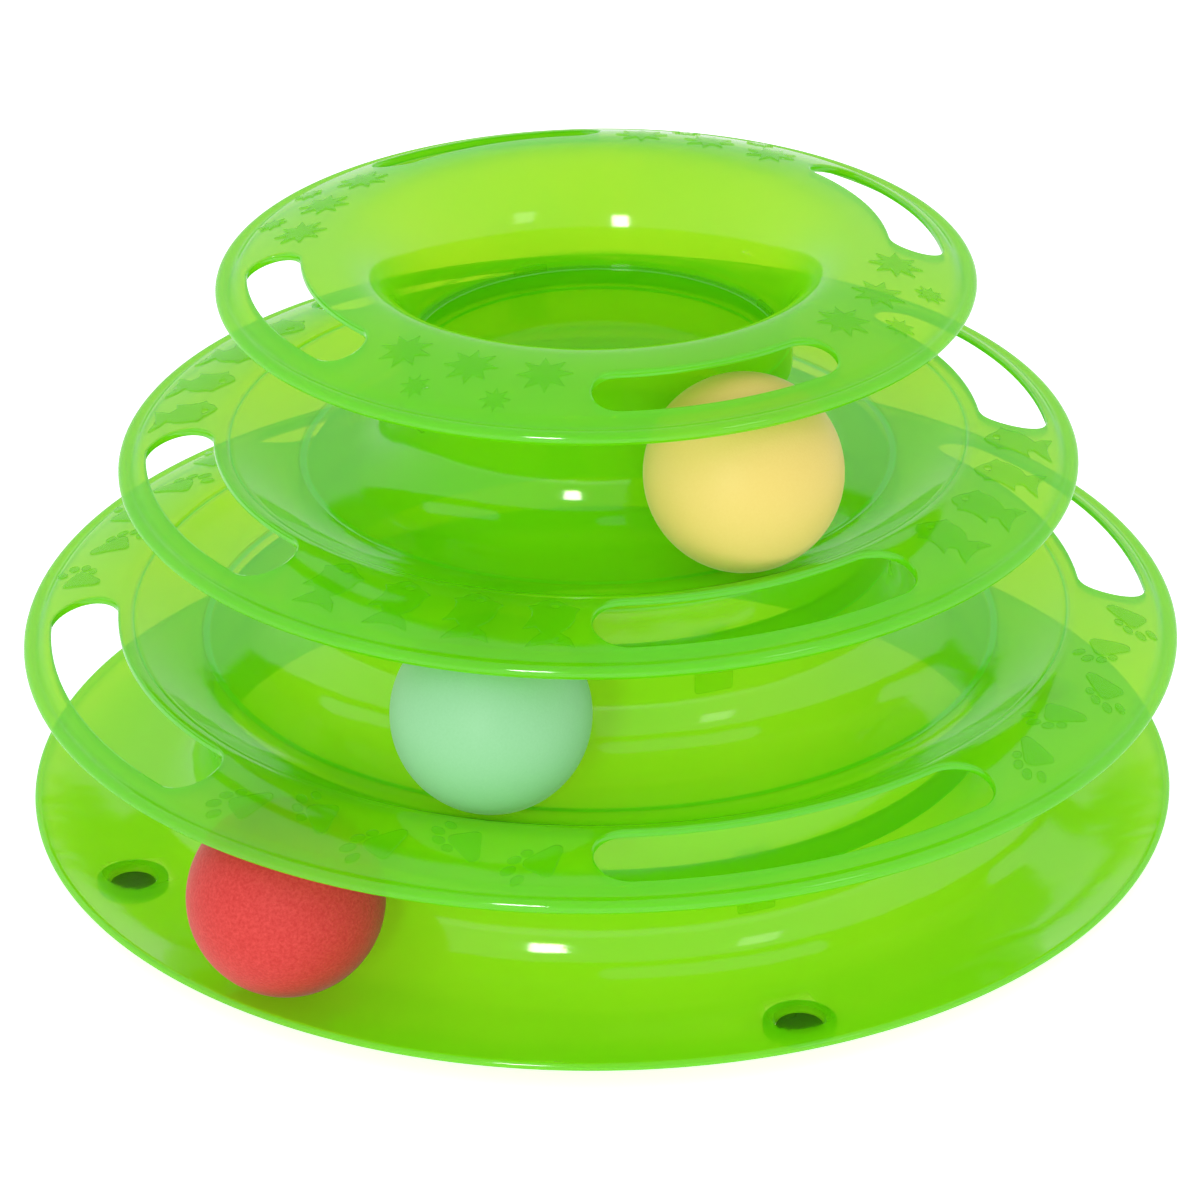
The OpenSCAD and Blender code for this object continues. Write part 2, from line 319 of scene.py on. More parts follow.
class Moulding:
    """Points, faces and edge values that grow into one mesh."""

    def __init__(self):
        self.points, self.faces, self.edges = [], [], []

    def point(self, r, turn, z, edge=0.0):
        """Adds a point in cylindrical coordinates and returns its number."""
        self.points.append((r * math.cos(turn) * MM, r * math.sin(turn) * MM, z * MM))
        self.edges.append(edge)
        return len(self.points) - 1

    def strip(self, a, b):
        """Joins two rows of points with faces."""
        for i in range(len(a) - 1):
            corners = list(dict.fromkeys((a[i], a[i + 1], b[i + 1], b[i])))
            if len(corners) > 2:
                self.faces.append(corners)

    def mesh_object(self, name):
        """The finished mesh as an object."""
        mesh = bpy.data.meshes.new(name)
        mesh.from_pydata(self.points, [], self.faces)
        edge = mesh.attributes.new("edge", "FLOAT", "POINT")
        edge.data.foreach_set("value", self.edges)
        return add_object(name, mesh)


def add_object(name, data):
    """A new object in the scene."""
    obj = bpy.data.objects.new(name, data)
    bpy.context.scene.collection.objects.link(obj)
    return obj


def object_of(shape, name):
    """A finished bmesh as a new object."""
    mesh = bpy.data.meshes.new(name)
    shape.to_mesh(mesh)
    shape.free()
    return add_object(name, mesh)


def cut_across(shape, at, normal):
    """Cuts a flat bmesh along a plane and keeps both sides."""
    everything = shape.verts[:] + shape.edges[:] + shape.faces[:]
    bmesh.ops.bisect_plane(shape, geom=everything, plane_co=at, plane_no=normal)


def faced(obj, merge=0.0):
    """Merges doubled points, turns every face outwards and shades all but sharp edges smooth."""
    shape = bmesh.new()
    shape.from_mesh(obj.data)
    if merge:
        bmesh.ops.remove_doubles(shape, verts=shape.verts, dist=merge)
    bmesh.ops.recalc_face_normals(shape, faces=shape.faces)
    for face in shape.faces:
        face.smooth = True
    shape.to_mesh(obj.data)
    shape.free()
    obj.data.set_sharp_from_angle(angle=SHARP_ANGLE)
    return obj


def slot_columns(t, middle_r, half_w):
    """Directions round the tower at which a slotted tray is sampled.

    Each is the centre of the slot's round end or side there, the angle that the
    slot's edge faces (None away from the slots), and the direction itself.
    """
    tip_angle = math.asin(t.slot_w / 2 / middle_r)
    side = SLOT_ANGLE / 2 - tip_angle
    reach = side + half_w / middle_r
    solid = 2 * math.pi / SLOT_COUNT - 2 * reach
    columns = []
    for k in range(SLOT_COUNT):
        middle = SLOT_TURN + k * 2 * math.pi / SLOT_COUNT
        for step in range(END_STEPS + 1):
            face = math.pi - step * math.pi / (2 * END_STEPS)
            turn = middle - side + math.cos(face) * half_w / middle_r
            columns.append((middle - side, face, turn))
        for step in range(1, SIDE_STEPS):
            turn = middle - side + step * 2 * side / SIDE_STEPS
            columns.append((turn, math.pi / 2, turn))
        for step in range(END_STEPS + 1):
            face = math.pi / 2 - step * math.pi / (2 * END_STEPS)
            turn = middle + side + math.cos(face) * half_w / middle_r
            columns.append((middle + side, face, turn))
        for step in range(1, SOLID_STEPS):
            turn = middle + reach + step * solid / SOLID_STEPS
            columns.append((turn, None, turn))
    return columns


def tray_outlines(t):
    """What a tray's section is made of on the two sides of its slots.

    Returns the heights of the flange's two faces as functions of the radius, and for each
    side its sign, the radius where its fixed rows begin, and those rows.
    """
    zone_out = t.rim_r - t.slot_outer_in + SLOT_CLEAR_OUT
    zone_in = t.rim_r - t.slot_outer_in - t.slot_w - SLOT_CLEAR_IN
    top_line = upper_line(t, zone_out)
    under_line = beneath(top_line, WALL)
    by_radius = under_line[np.argsort(under_line[:, 0])]

    def upper(r):
        return np.interp(r, top_line[::-1, 0], top_line[::-1, 1])

    def lower(r):
        return np.interp(r, by_radius[:, 0], by_radius[:, 1])

    clear = 0.1
    inward = top_line[top_line[:, 0] < zone_in - clear]
    outward = under_line[under_line[:, 0] < zone_in - clear][::-1]
    if t.top:
        root_z, throat_h, wall_clear = t.rim_z + t.crest_h - funnel_depth(t), 0.8, 0.02
        outward = outward[outward[:, 0] > t.column_r + wall_clear]
        middle = column_rows(t, root_z - throat_h, root_z)
    else:
        root_r, under_z = t.column_r + ROOT_R + 0.5, t.floor_z - WALL
        outward = outward[outward[:, 0] > root_r + clear]
        inward = grooved(inward, t.rim_r - CREASE_IN, CREASE_HALF_W, CREASE_DEPTH)
        middle = run_of(
            ring_groove(t), collar_rows(t.next_column_r, t.floor_z),
            column_rows(t, under_z, under_z - ROOT_R),
            bend([t.column_r, under_z - ROOT_R], [0, 1], [1, 0.12], [root_r, lower(root_r)]))
    first, last = line([[zone_in, upper(zone_in)]]), line([[zone_in, lower(zone_in)]])
    inside = run_of(first, inward, middle, outward, last)
    outside = bead_rows(t, zone_out, upper, lower)
    return upper, lower, ((1, zone_out, outside), (-1, zone_in, inside))


def slotted_tray(t):
    """A turned tray with round-edged slots through its flange, as one closed mesh."""
    upper, lower, zones = tray_outlines(t)
    middle_r = t.rim_r - t.slot_outer_in - t.slot_w / 2
    half_w = t.slot_w / 2 + SLOT_ROUNDING
    columns = slot_columns(t, middle_r, half_w)
    edge_rows, narrow, touching = 2, 3.0, 1e-6
    shape = Moulding()

    def section(sign, limit, fixed, face, turn, open_by):
        """Points of one side of the tray in one direction, from the slot's top to its underside."""
        start = middle_r + sign * open_by
        steps = [start + (limit - start) * k / SLOT_ROWS for k in range(SLOT_ROWS)]
        near = [BEAD_EDGE * (1 - k / edge_rows) * min(1.0, open_by / narrow)
                if face is not None and k < edge_rows else 0.0 for k in range(SLOT_ROWS)]
        skip = 0 if open_by > touching or sign > 0 else 1
        first = [shape.point(r, turn, upper(r), n) for r, n in zip(steps[skip:], near)]
        body = [shape.point(r, turn, z, e) for r, z, e in fixed]
        last = [shape.point(r, turn, lower(r), n) for r, n in zip(steps, near)][::-1]
        return first, body, last

    def slot_wall(sign, centre, face, loop):
        """Points down one side of a slot, round its edge."""
        wall = [loop[0]]
        for k in range(1, NOSE_STEPS):
            share = k / NOSE_STEPS
            bulge = (1 - abs(2 * share - 1) ** SLOT_ROUND_POWER) ** (1 / SLOT_ROUND_POWER)
            reach = half_w - SLOT_ROUNDING * bulge
            r = middle_r + sign * reach * math.sin(face)
            turn = centre + reach * math.cos(face) / middle_r
            wall.append(shape.point(r, turn, upper(r) + share * (lower(r) - upper(r)), CUT_EDGE_AND_SHADE_LINE))
        return wall + [loop[-1]]

    loops, walls = [], []
    for centre, face, turn in columns:
        open_by = half_w * math.sin(face) if face is not None else 0.0
        outer, inner = [section(*zone, face, turn, open_by) for zone in zones]
        if open_by > touching:
            inner = sum(inner, [])
        else:
            inner = [outer[0][0]] + inner[0] + inner[1] + inner[2][:-1] + [outer[2][-1]]
        outer = sum(outer, [])
        loops.append((outer, inner))
        if face is None:
            walls.append(None)
            continue
        wall = slot_wall(1, centre, face, outer)
        walls.append((wall, slot_wall(-1, centre, face, inner) if open_by > touching else wall))
    for j in range(len(columns)):
        k = (j + 1) % len(columns)
        for side in (0, 1):
            shape.strip(loops[j][side], loops[k][side])
        if walls[j] and walls[k]:
            for side in (0, 1):
                shape.strip(walls[j][side], walls[k][side])
    return shape.mesh_object(t.name + "_moulding")


def curved_slab(inner_r, outer_r, width, low_z, high_z, name):
    """A short stretch of ring with rounded corners, centred on the X axis."""
    soft, steps, half = 0.5, 8, width / 2
    face = []
    for y, z, start in ((-half + soft, high_z - soft, 180), (half - soft, high_z - soft, 90),
                        (half - soft, low_z + soft, 0), (-half + soft, low_z + soft, -90)):
        for turn in (start, start - 45, start - 90):
            turn = math.radians(turn)
            face.append((y + soft * math.cos(turn), z + soft * math.sin(turn)))
    shape = bmesh.new()
    shape.faces.new([shape.verts.new((0, y, z)) for y, z in face])
    for step in range(1, steps):
        y = -half + width * step / steps
        cut_across(shape, (0, y, 0), (0, 1, 0))
    side = bmesh.ops.extrude_face_region(shape, geom=shape.faces[:])
    for v in shape.verts:
        v.co.x = inner_r
    for v in (g for g in side["geom"] if isinstance(g, bmesh.types.BMVert)):
        v.co.x = outer_r
    for v in shape.verts:
        turn = v.co.y / ((inner_r + outer_r) / 2)
        v.co = Vector((v.co.x * math.cos(turn), v.co.x * math.sin(turn), v.co.z)) * MM
    return object_of(shape, name)


def profile_object(rows, name, closed):
    """A chain of edges in the XZ plane, which a turning tree makes a solid."""
    if closed and np.linalg.norm(rows[0, :2] - rows[-1, :2]) < SAME_POINT:
        rows = rows[:-1]
    mesh = bpy.data.meshes.new(name)
    count = len(rows)
    edges = [(i, i + 1) for i in range(count - 1)] + ([(count - 1, 0)] if closed else [])
    mesh.from_pydata([(r * MM, 0, z * MM) for r, z in rows[:, :2]], edges, [])
    edge = mesh.attributes.new("edge", "FLOAT", "POINT")
    edge.data.foreach_set("value", rows[:, 2])
    return add_object(name, mesh)


# Geometry node trees

def node_tree(name, kind, inputs, outputs):
    """A new node group with named inputs and outputs. Returns it with its two end nodes.

    An input is a name and a kind of socket, and the value it has if none is given.
    """
    group = bpy.data.node_groups.new(name, kind)
    for label, socket, *value in inputs:
        made = group.interface.new_socket(label, in_out="INPUT", socket_type="NodeSocket" + socket)
        if value:
            made.default_value = value[0]
    for label, socket in outputs:
        group.interface.new_socket(label, in_out="OUTPUT", socket_type="NodeSocket" + socket)
    return group, group.nodes.new("NodeGroupInput"), group.nodes.new("NodeGroupOutput")


class Wiring:
    """Short ways to add nodes and links to one tree."""

    def __init__(self, tree):
        self.tree = tree

    def node(self, kind, links=None, **values):
        """Adds a node, sets its properties and joins the given sockets to its inputs."""
        made = self.tree.nodes.new(kind)
        for key, value in values.items():
            setattr(made, key, value)
        for key, source in (links or {}).items():
            socket = made.inputs[key]
            if isinstance(source, bpy.types.NodeSocket):
                self.tree.links.new(source, socket)
            else:
                socket.default_value = source
        return made

    def maths(self, operation, a, b=0.0, clamp=False):
        """A Math node's result."""
        kind = "ShaderNodeMath"
        return self.node(kind, {0: a, 1: b}, operation=operation, use_clamp=clamp).outputs[0]

    def plus(self, a, b, clamp=False):
        """The sum of two values."""
        return self.maths("ADD", a, b, clamp)

    def minus(self, a, b):
        """The difference of two values."""
        return self.maths("SUBTRACT", a, b)

    def times(self, a, b):
        """The product of two values."""
        return self.maths("MULTIPLY", a, b)

    def mix(self, share, a, b):
        """A colour between two colours."""
        return self.node("ShaderNodeMix", {0: share, 6: a, 7: b}, data_type="RGBA").outputs[2]


def turning_tree():
    """Turns a profile in the XZ plane about the Z axis into a closed solid."""
    tree, given, result = node_tree(
        "Turned about the axis", "GeometryNodeTree",
        [("Geometry", "Geometry"), ("Segments", "Int"), ("Merge", "Float"),
         ("Material", "Material")],
        [("Geometry", "Geometry")])
    w = Wiring(tree)
    profile = w.node("GeometryNodeMeshToCurve", {"Mesh": given.outputs["Geometry"]})
    place = w.node("ShaderNodeSeparateXYZ", {0: w.node("GeometryNodeInputPosition").outputs[0]})
    across = w.node("GeometryNodeCaptureAttribute", {"Geometry": profile.outputs[0]})
    across.capture_items.new("FLOAT", "Radius")
    across.capture_items.new("FLOAT", "Height")
    tree.links.new(place.outputs["X"], across.inputs["Radius"])
    tree.links.new(place.outputs["Z"], across.inputs["Height"])
    circle = w.node("GeometryNodeCurvePrimitiveCircle", {
        "Resolution": given.outputs["Segments"], "Radius": 1.0})
    round_it = w.node("GeometryNodeCaptureAttribute", {"Geometry": circle.outputs["Curve"]})
    round_it.capture_items.new("VECTOR", "Direction")
    tree.links.new(w.node("GeometryNodeInputPosition").outputs[0], round_it.inputs["Direction"])
    swept = w.node("GeometryNodeCurveToMesh", {
        "Curve": round_it.outputs["Geometry"], "Profile Curve": across.outputs["Geometry"]})
    direction = w.node("ShaderNodeSeparateXYZ", {0: round_it.outputs["Direction"]})
    x = w.times(direction.outputs["X"], across.outputs["Radius"])
    y = w.times(direction.outputs["Y"], across.outputs["Radius"])
    at = w.node("ShaderNodeCombineXYZ", {"X": x, "Y": y, "Z": across.outputs["Height"]})
    placed = w.node("GeometryNodeSetPosition", {
        "Geometry": swept.outputs[0], "Position": at.outputs[0]})
    merged = w.node("GeometryNodeMergeByDistance", {
        "Geometry": placed.outputs[0], "Distance": given.outputs["Merge"]})
    real = w.node("GeometryNodeRealizeInstances", {"Geometry": merged.outputs[0]})
    coloured = w.node("GeometryNodeSetMaterial", {
        "Geometry": real.outputs[0], "Material": given.outputs["Material"]})
    tree.links.new(coloured.outputs[0], result.inputs[0])
    return tree


def ring_tree():
    """Repeats a shape evenly round the tower."""
    tree, given, result = node_tree(
        "Repeated round the tower", "GeometryNodeTree",
        [("Geometry", "Geometry"), ("Count", "Int"), ("First direction", "Float"),
         ("Edge", "Float"), ("Thin", "Float"), ("Material", "Material")],
        [("Geometry", "Geometry")])
    w = Wiring(tree)
    step = w.maths("DIVIDE", 2 * math.pi, given.outputs["Count"])
    turn = w.times(w.node("GeometryNodeInputIndex").outputs[0], step)
    turn = w.plus(turn, given.outputs["First direction"])
    points = w.node("GeometryNodePoints", {"Count": given.outputs["Count"]})
    spin = w.node("ShaderNodeCombineXYZ", {"Z": turn})
    copies = w.node("GeometryNodeInstanceOnPoints", {
        "Points": points.outputs[0], "Instance": given.outputs["Geometry"],
        "Rotation": spin.outputs[0]})
    real = w.node("GeometryNodeRealizeInstances", {"Geometry": copies.outputs[0]})
    finish_tree(w, real.outputs[0], given, result)
    return tree


def finish_tree(w, geometry, given, result):
    """Ends a tree: stores its Edge and Thin inputs on the points and sets the material."""
    for name in ("Edge", "Thin"):
        geometry = w.node("GeometryNodeStoreNamedAttribute", {
            "Geometry": geometry, "Name": name.lower(), "Value": given.outputs[name]},
            data_type="FLOAT", domain="POINT").outputs[0]
    coloured = w.node("GeometryNodeSetMaterial", {
        "Geometry": geometry, "Material": given.outputs["Material"]})
    w.tree.links.new(coloured.outputs[0], result.inputs[0])


def relief_tree():
    """Sets groups of raised marks on a flange, between its slots, bent to its upper face."""
    tree, given, result = node_tree(
        "Relief on the flange", "GeometryNodeTree",
        [("Geometry", "Geometry"), ("Groups", "Int"), ("Middle direction", "Float"),
         ("Marks", "Int"), ("First mark", "Int", 0), ("Every", "Int", 1),
         ("Pitch", "Float"), ("Radius", "Float"),
         ("Valley radius", "Float"), ("Valley height", "Float"),
         ("Crest radius", "Float"), ("Crest height", "Float"),
         ("Edge", "Float"), ("Thin", "Float"), ("Material", "Material")],
        [("Geometry", "Geometry")])
    w = Wiring(tree)
    out = given.outputs
    count = w.times(out["Groups"], out["Marks"])
    index = w.node("GeometryNodeInputIndex").outputs[0]
    group = w.maths("FLOOR", w.maths("DIVIDE", w.plus(index, 0.5), out["Marks"]))
    mark = w.minus(index, w.times(group, out["Marks"]))
    number = w.plus(w.times(mark, out["Every"]), out["First mark"])
    last = w.times(w.minus(out["Marks"], 1.0), out["Every"])
    middle = w.plus(out["First mark"], w.times(last, 0.5))
    offset = w.times(w.minus(number, middle), out["Pitch"])
    turn = w.times(group, w.maths("DIVIDE", 2 * math.pi, out["Groups"]))
    turn = w.plus(w.plus(turn, offset), out["Middle direction"])
    at = w.node("ShaderNodeCombineXYZ", {
        "X": w.times(out["Radius"], w.maths("COSINE", turn)),
        "Y": w.times(out["Radius"], w.maths("SINE", turn))})
    points = w.node("GeometryNodePoints", {"Count": count, "Position": at.outputs[0]})
    place = w.node("ShaderNodeSeparateXYZ", {0: w.node("GeometryNodeInputPosition").outputs[0]})
    facing = w.node("ShaderNodeCombineXYZ", {
        "Z": w.maths("ARCTAN2", place.outputs["Y"], place.outputs["X"])})
    copies = w.node("GeometryNodeInstanceOnPoints", {
        "Points": points.outputs[0], "Instance": out["Geometry"], "Rotation": facing.outputs[0]})
    real = w.node("GeometryNodeRealizeInstances", {"Geometry": copies.outputs[0]})
    x, y = place.outputs["X"], place.outputs["Y"]
    r = w.maths("SQRT", w.plus(w.times(x, x), w.times(y, y)))
    share = w.maths("DIVIDE", w.minus(out["Valley radius"], r),
                    w.minus(out["Valley radius"], out["Crest radius"]), clamp=True)
    rise = w.maths("SINE", w.times(share, math.pi / 2))
    climb = w.minus(out["Crest height"], out["Valley height"])
    height = w.plus(out["Valley height"], w.times(rise, climb))
    lift = w.node("ShaderNodeCombineXYZ", {"Z": height})
    bent = w.node("GeometryNodeSetPosition", {
        "Geometry": real.outputs[0], "Offset": lift.outputs[0]})
    finish_tree(w, bent.outputs[0], given, result)
    return tree


def through_tree(obj, tree, **sizes):
    """Runs a tree on an object and keeps the result as its plain mesh."""
    modifier = obj.modifiers.new(tree.name, "NODES")
    modifier.node_group = tree
    for item in tree.interface.items_tree:
        key = item.name.replace(" ", "_").lower()
        if item.in_out == "INPUT" and key in sizes:
            modifier[item.identifier] = sizes[key]
    depsgraph = bpy.context.evaluated_depsgraph_get()
    mesh = bpy.data.meshes.new_from_object(obj.evaluated_get(depsgraph), depsgraph=depsgraph)
    obj.modifiers.remove(modifier)
    obj.data = mesh
    return obj


def joined(main, others):
    """Makes the others part of the main object's mesh, all of the trays' plastic."""
    bpy.ops.object.select_all(action="DESELECT")
    for obj in others + [main]:
        obj.select_set(True)
    bpy.context.view_layer.objects.active = main
    bpy.ops.object.join()
    main.data.materials.clear()
    main.data.materials.append(plastic)
    return main


# Raised marks, each drawn flat with X pointing out from the tower

def flat_mark(outlines, holes, name):
    """A raised mark with a softened top edge, from flat outlines in millimetres.

    The holes are cut in the first outline.
    """
    shape = bmesh.new()

    def closed_chain(points):
        ring = [shape.verts.new((x * MM, y * MM, 0)) for x, y in points]
        return [shape.edges.new((ring[i], ring[(i + 1) % len(ring)])) for i in range(len(ring))]

    for outline in outlines:
        edges = closed_chain(outline)
        for hole in holes if outline is outlines[0] else []:
            edges += closed_chain(hole)
        bmesh.ops.triangle_fill(shape, use_beauty=True, use_dissolve=False, edges=edges)
    for x in range(-6, 7, 2):
        cut_across(shape, (x * MM, 0, 0), (1, 0, 0))
    bmesh.ops.recalc_face_normals(shape, faces=shape.faces)
    if shape.faces[:][0].normal.z < 0:
        bmesh.ops.reverse_faces(shape, faces=shape.faces)
    up = bmesh.ops.extrude_face_region(shape, geom=shape.faces[:])
    top = [g for g in up["geom"] if isinstance(g, bmesh.types.BMFace)]
    for v in (g for g in up["geom"] if isinstance(g, bmesh.types.BMVert)):
        v.co.z = MARK_H * MARK_SIDE_SHARE * MM
    for v in shape.verts:
        if v.co.z == 0:
            v.co.z = -MARK_SINK * MM
    bmesh.ops.inset_region(
        shape, faces=top, thickness=MARK_SOFT * MM, depth=MARK_H * (1 - MARK_SIDE_SHARE) * MM)
    return object_of(shape, name)


def star(size, name):
    """An eight-pointed star."""
    points, first_angle, waist = 8, 8, 0.5
    outline = []
    for i in range(2 * points):
        turn = math.radians(180 / points * i + first_angle)
        r = size * (waist if i % 2 else 1.0)
        outline.append((r * math.cos(turn), r * math.sin(turn)))
    return flat_mark([outline], [], name)


def ellipse(x, y, long, wide, angle, steps=10):
    """Outline of an ellipse, turned by an angle in degrees."""
    turn = math.radians(angle)
    outline = []
    for i in range(steps):
        a = 2 * math.pi * i / steps
        u, v = long * math.cos(a), wide * math.sin(a)
        outline.append((x + u * math.cos(turn) - v * math.sin(turn),
                        y + u * math.sin(turn) + v * math.cos(turn)))
    return outline


def rounded(corners, radius):
    """Outline of a shape with its corners, given anticlockwise, rounded outwards."""
    outline, steps = [], 4
    for i, (x, y) in enumerate(corners):
        before, after = corners[i - 1], corners[(i + 1) % len(corners)]
        way_in = math.atan2(y - before[1], x - before[0]) - math.pi / 2
        way_out = math.atan2(after[1] - y, after[0] - x) - math.pi / 2
        sweep = (way_out - way_in) % (2 * math.pi)
        for n in range(steps + 1):
            way = way_in + sweep * n / steps
            outline.append((x + radius * math.cos(way), y + radius * math.sin(way)))
    return outline


def fish(name):
    """A plain fish with its head towards the tower's axis."""
    body = [
        (-7.2, -0.9), (-6.3, 1.2), (-5.0, 2.9), (-3.9, 5.3), (-2.6, 4.6), (-0.4, 4.7),
        (1.6, 3.9), (3.3, 2.1), (4.6, 4.2), (6.8, 5.4), (6.0, 1.8), (6.2, -0.8),
        (7.1, -4.4), (4.9, -3.1), (3.4, -1.6), (1.9, -3.0), (2.5, -5.4), (0.5, -4.5),
        (-1.0, -4.0), (-2.8, -4.1), (-4.2, -5.0), (-4.8, -3.4), (-6.3, -2.6),
    ]
    eye = ellipse(-4.6, 0.3, 0.8, 1.0, 0, 8)
    return flat_mark([body], [eye], name)


def paw(side, name):
    """A paw print that walks clockwise round the tower, turned out to one side."""
    pad_corners, pad_r = [(-4.9, 4.2), (-0.7, -0.6), (0.9, 3.0)], 1.4
    toes = [(-3.5, -1.4, 1.3, 0.95, -75), (-1.5, -3.7, 1.5, 1.0, -65),
            (1.3, -4.6, 1.7, 1.05, -60), (3.5, -2.6, 1.6, 1.0, -50)]
    outlines = [rounded(pad_corners, pad_r)] + [ellipse(*toe) for toe in toes]
    outlines = [[(x * side, y) for x, y in outline] for outline in outlines]
    return flat_mark(outlines, [], name)


# Materials

WHITE = (1, 1, 1, 1)
# Deep colours tint the edges: the plastic's own deeper colour on cut edges and the bead, painted
# shade in the grooves and on the collar's inner line.
BODY_LOOK = {
    "Clear colour": (0.61, 0.95, 0.06, 1), "Deep colour": (0.14, 0.78, 0.08, 1),
    "Cloud share": 0.06}
FILM_LOOK = {
    "Clear colour": (0.92, 0.955, 0.20, 1), "Deep colour": (0.58, 0.93, 0.10, 1),
    "Cloud share": 0.10}
SKIN_GREEN = (0.17, 0.80, 0.004, 1)
RED, RED_SPECK = (0.56, 0.026, 0.022, 1), (0.80, 0.085, 0.072, 1)
MINT, MINT_SPECK = (0.26, 0.60, 0.29, 1), (0.32, 0.66, 0.36, 1)
YELLOW, YELLOW_SPECK = (0.78, 0.61, 0.15, 1), (0.82, 0.66, 0.20, 1)
RUBBER, RUBBER_DUST = (0.012, 0.016, 0.012, 1), (0.03, 0.038, 0.03, 1)
PAPER_LOW, PAPER_HIGH = (0.93, 0.93, 0.93, 1), (0.95, 0.95, 0.95, 1)


def new_material(name):
    """An empty node material, with its wiring and its output node."""
    material = bpy.data.materials.new(name)
    material.use_nodes = True
    material.node_tree.nodes.clear()
    w = Wiring(material.node_tree)
    return material, w, w.node("ShaderNodeOutputMaterial")


def flow_group():
    """Milky clouds and faint flow ripples of moulded plastic."""
    tree, given, result = node_tree(
        "Moulded plastic flow", "ShaderNodeTree",
        [("Vector", "Vector"), ("Edge", "Float"), ("Clear colour", "Color"),
         ("Deep colour", "Color"), ("Cloud scale", "Float", 30.0), ("Cloud share", "Float")],
        [("Colour", "Color"), ("Cloud", "Float"), ("Height", "Float")])
    w = Wiring(tree)
    out, grain_height = given.outputs, 0.02
    clouds = w.node("ShaderNodeTexNoise", {
        "Vector": out["Vector"], "Scale": out["Cloud scale"], "Detail": 2.0})
    deep = w.plus(w.times(clouds.outputs[0], out["Cloud share"]), out["Edge"], clamp=True)
    ripples = w.node("ShaderNodeTexNoise", {
        "Vector": out["Vector"], "Scale": 85.0, "Detail": 1.0, "Distortion": 0.4})
    grain = w.node("ShaderNodeTexNoise", {"Vector": out["Vector"], "Scale": 2600.0, "Detail": 1.0})
    height = w.plus(ripples.outputs[0], w.times(grain.outputs[0], grain_height))
    tree.links.new(w.mix(deep, out["Clear colour"], out["Deep colour"]), result.inputs["Colour"])
    tree.links.new(clouds.outputs[0], result.inputs["Cloud"])
    tree.links.new(height, result.inputs["Height"])
    return tree


def grain_group():
    """Fine speckled grain in two colours."""
    tree, given, result = node_tree(
        "Fine grain", "ShaderNodeTree",
        [("Vector", "Vector"), ("Colour", "Color"), ("Speck colour", "Color"),
         ("Grain scale", "Float"), ("Speck share", "Float", 0.3), ("Patch share", "Float", 0.1)],
        [("Colour", "Color"), ("Height", "Float")])
    w = Wiring(tree)
    out = given.outputs
    fine = w.node("ShaderNodeTexNoise", {
        "Vector": out["Vector"], "Scale": out["Grain scale"], "Detail": 3.0, "Roughness": 0.7})
    patches = w.node("ShaderNodeTexNoise", {"Vector": out["Vector"], "Scale": 60.0, "Detail": 2.0})
    sharp = w.node("ShaderNodeMapRange", {
        "Value": fine.outputs[0], "From Min": 0.35, "From Max": 0.68, "To Min": 0.0, "To Max": 1.0})
    share = w.plus(w.times(sharp.outputs[0], out["Speck share"]),
                   w.times(patches.outputs[0], out["Patch share"]), clamp=True)
    tree.links.new(w.mix(share, out["Colour"], out["Speck colour"]), result.inputs["Colour"])
    tree.links.new(fine.outputs[0], result.inputs["Height"])
    return tree


